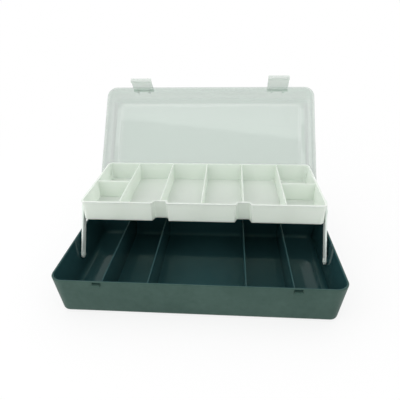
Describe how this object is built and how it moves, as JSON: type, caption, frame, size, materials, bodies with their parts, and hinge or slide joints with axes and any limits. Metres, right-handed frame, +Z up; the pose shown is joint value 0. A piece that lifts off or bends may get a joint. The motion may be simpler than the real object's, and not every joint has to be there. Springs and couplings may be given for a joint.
{
  "type": "tackle box",
  "caption": "Hinged tackle box with a clear lid, a divided lift-up tray on side arms, a divided base and snap latches, drawn open.",
  "frame": {"origin": "centre of the flat underside of the base, where the box stands on a table", "axes": "+X along the box to its right seen from the front, +Y to the back where the lid hinges, +Z up"},
  "size_m": [0.32, 0.3165, 0.209],
  "materials": {
    "base_plastic": "dark green-grey moulded plastic, satin outside and glossy inside",
    "tray_plastic": "milky translucent white moulded plastic with a soft sheen",
    "clear_plastic": "clear moulded plastic with a faint grey-green tint",
    "latch_plastic": "clear moulded plastic, thicker and a little greyer than the lid",
    "arm_plastic": "white moulded plastic, satin",
    "steel": "plain drawn steel wire"
  },
  "bodies": {
    "base_body": {"base": "base_plastic", "left_hinge_pin": "steel", "right_hinge_pin": "steel", "left_base_rivet": "arm_plastic", "right_base_rivet": "arm_plastic"},
    "lid_body": {"lid": "clear_plastic", "left_latch_pin": "steel", "right_latch_pin": "steel", "left_pivot_pin": "arm_plastic", "right_pivot_pin": "arm_plastic"},
    "tray_body": {"tray": "tray_plastic", "left_tray_rivet": "arm_plastic", "right_tray_rivet": "arm_plastic"},
    "left_arm_body": {"left_arm": "arm_plastic"},
    "right_arm_body": {"right_arm": "arm_plastic"},
    "left_latch_body": {"left_latch": "latch_plastic"},
    "right_latch_body": {"right_latch": "latch_plastic"}
  },
  "joints": [
    {"name": "lid_hinge", "type": "hinge", "parent": "base_body", "child": "lid_body", "pos_m": [0, 0.0938, 0.048], "axis": [1, 0, 0], "range_deg": [0, 128]},
    {"name": "tray_pivot", "type": "hinge", "parent": "lid_body", "child": "tray_body", "pos_m": [0, 0.12797, 0.08069], "axis": [1, 0, 0], "range_deg": [-128, 0]},
    {"name": "left_arm_pivot", "type": "hinge", "parent": "base_body", "child": "left_arm_body", "pos_m": [-0.152, -0.00761, 0.0252], "axis": [1, 0, 0], "range_deg": [0, 90.21]},
    {"name": "right_arm_pivot", "type": "hinge", "parent": "base_body", "child": "right_arm_body", "pos_m": [0.152, -0.00761, 0.0252], "axis": [1, 0, 0], "range_deg": [0, 90.21]},
    {"name": "left_latch_hinge", "type": "hinge", "parent": "lid_body", "child": "left_latch_body", "pos_m": [-0.1065, 0.22171, 0.18524], "axis": [-1, 0, 0], "range_deg": [-10, 140]},
    {"name": "right_latch_hinge", "type": "hinge", "parent": "lid_body", "child": "right_latch_body", "pos_m": [0.1065, 0.22171, 0.18524], "axis": [-1, 0, 0], "range_deg": [-22, 128]}
  ],
  "couplings": [
    {"joint": "tray_pivot", "follows": "lid_hinge", "ratio": -1},
    {"joint": "left_arm_pivot", "follows": "lid_hinge", "ratio": 0.70467},
    {"joint": "right_arm_pivot", "follows": "lid_hinge", "ratio": 0.70467}
  ]
}
